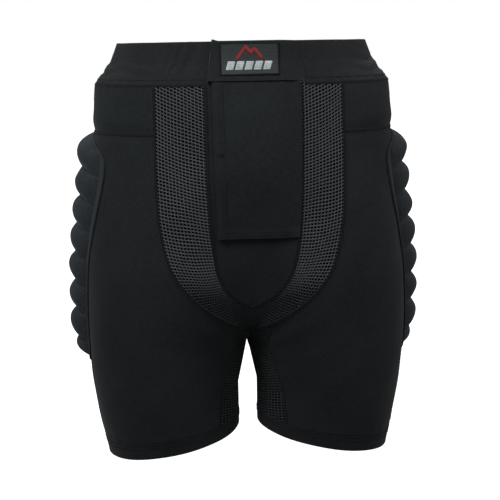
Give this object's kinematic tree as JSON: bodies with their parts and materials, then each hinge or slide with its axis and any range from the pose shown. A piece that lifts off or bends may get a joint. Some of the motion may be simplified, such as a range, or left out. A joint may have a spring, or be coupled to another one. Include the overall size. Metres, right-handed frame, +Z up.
{
  "type": "padded impact shorts",
  "caption": "Padded compression shorts with segmented foam pads at the hips, seat and tailbone, mesh panels beside the fly and a front flap that opens.",
  "frame": {"origin": "centre of the waist opening, in the plane of the waistband's top edge", "axes": "+Z up, out of the waist opening; +X to the wearer's left; the front faces -Y"},
  "size_m": [0.4128, 0.2678, 0.4746],
  "materials": {
    "jersey": "matte",
    "elastic": "matte",
    "tape": "matte",
    "label_weave": "satin",
    "emblem_thread": "satin",
    "thread": "matte",
    "mesh": "matte",
    "pad_fabric": "satin",
    "foam": "matte",
    "care_tape": "satin"
  },
  "bodies": {
    "shorts": {"waistband_casing": "jersey", "waistband_elastic": "elastic", "waist_loop_tape": "tape", "fly_underlay": "jersey", "fly_loop_tape": "tape", "front_gusset": "jersey", "front_mesh_left": "mesh", "front_mesh_right": "mesh", "front_panel_left": "jersey", "front_panel_right": "jersey", "inner_thigh_mesh_left": "mesh", "inner_thigh_mesh_right": "mesh", "hip_yoke_left": "jersey", "hip_yoke_right": "jersey", "side_panel_left": "jersey", "side_panel_right": "jersey", "back_panel_left": "jersey", "back_panel_right": "jersey", "hem_band_left": "jersey", "hem_band_right": "jersey", "hip_pad_cover_left": "pad_fabric", "hip_pad_cover_right": "pad_fabric", "hip_pad_foam_left": "foam", "hip_pad_foam_right": "foam", "hip_pad_piping_left": "pad_fabric", "hip_pad_piping_right": "pad_fabric", "seat_pad_cover_left": "pad_fabric", "seat_pad_cover_right": "pad_fabric", "seat_pad_foam_left": "foam", "seat_pad_foam_right": "foam", "seat_pad_piping_left": "pad_fabric", "seat_pad_piping_right": "pad_fabric", "tailbone_pad_cover": "pad_fabric", "tailbone_pad_foam": "foam", "tailbone_pad_piping": "pad_fabric", "waist_seam_stitching": "thread", "mesh_seam_stitching_left": "thread", "mesh_seam_stitching_right": "thread", "hem_stitching_left": "thread", "hem_stitching_right": "thread", "care_label": "care_tape"},
    "front_flap": {"waist_tab_casing": "jersey", "waist_tab_elastic": "elastic", "waist_hook_tape": "tape", "waist_label": "label_weave", "label_emblem": "emblem_thread", "fly_flap": "jersey", "fly_hook_tape": "tape", "fly_stitching": "thread"}
  },
  "joints": [
    {"name": "flap_hinge", "type": "hinge", "parent": "shorts", "child": "front_flap", "pos_m": [0.057, -0.111, -0.12], "axis": [0, 0, 1], "range_deg": [0, 140]}
  ]
}
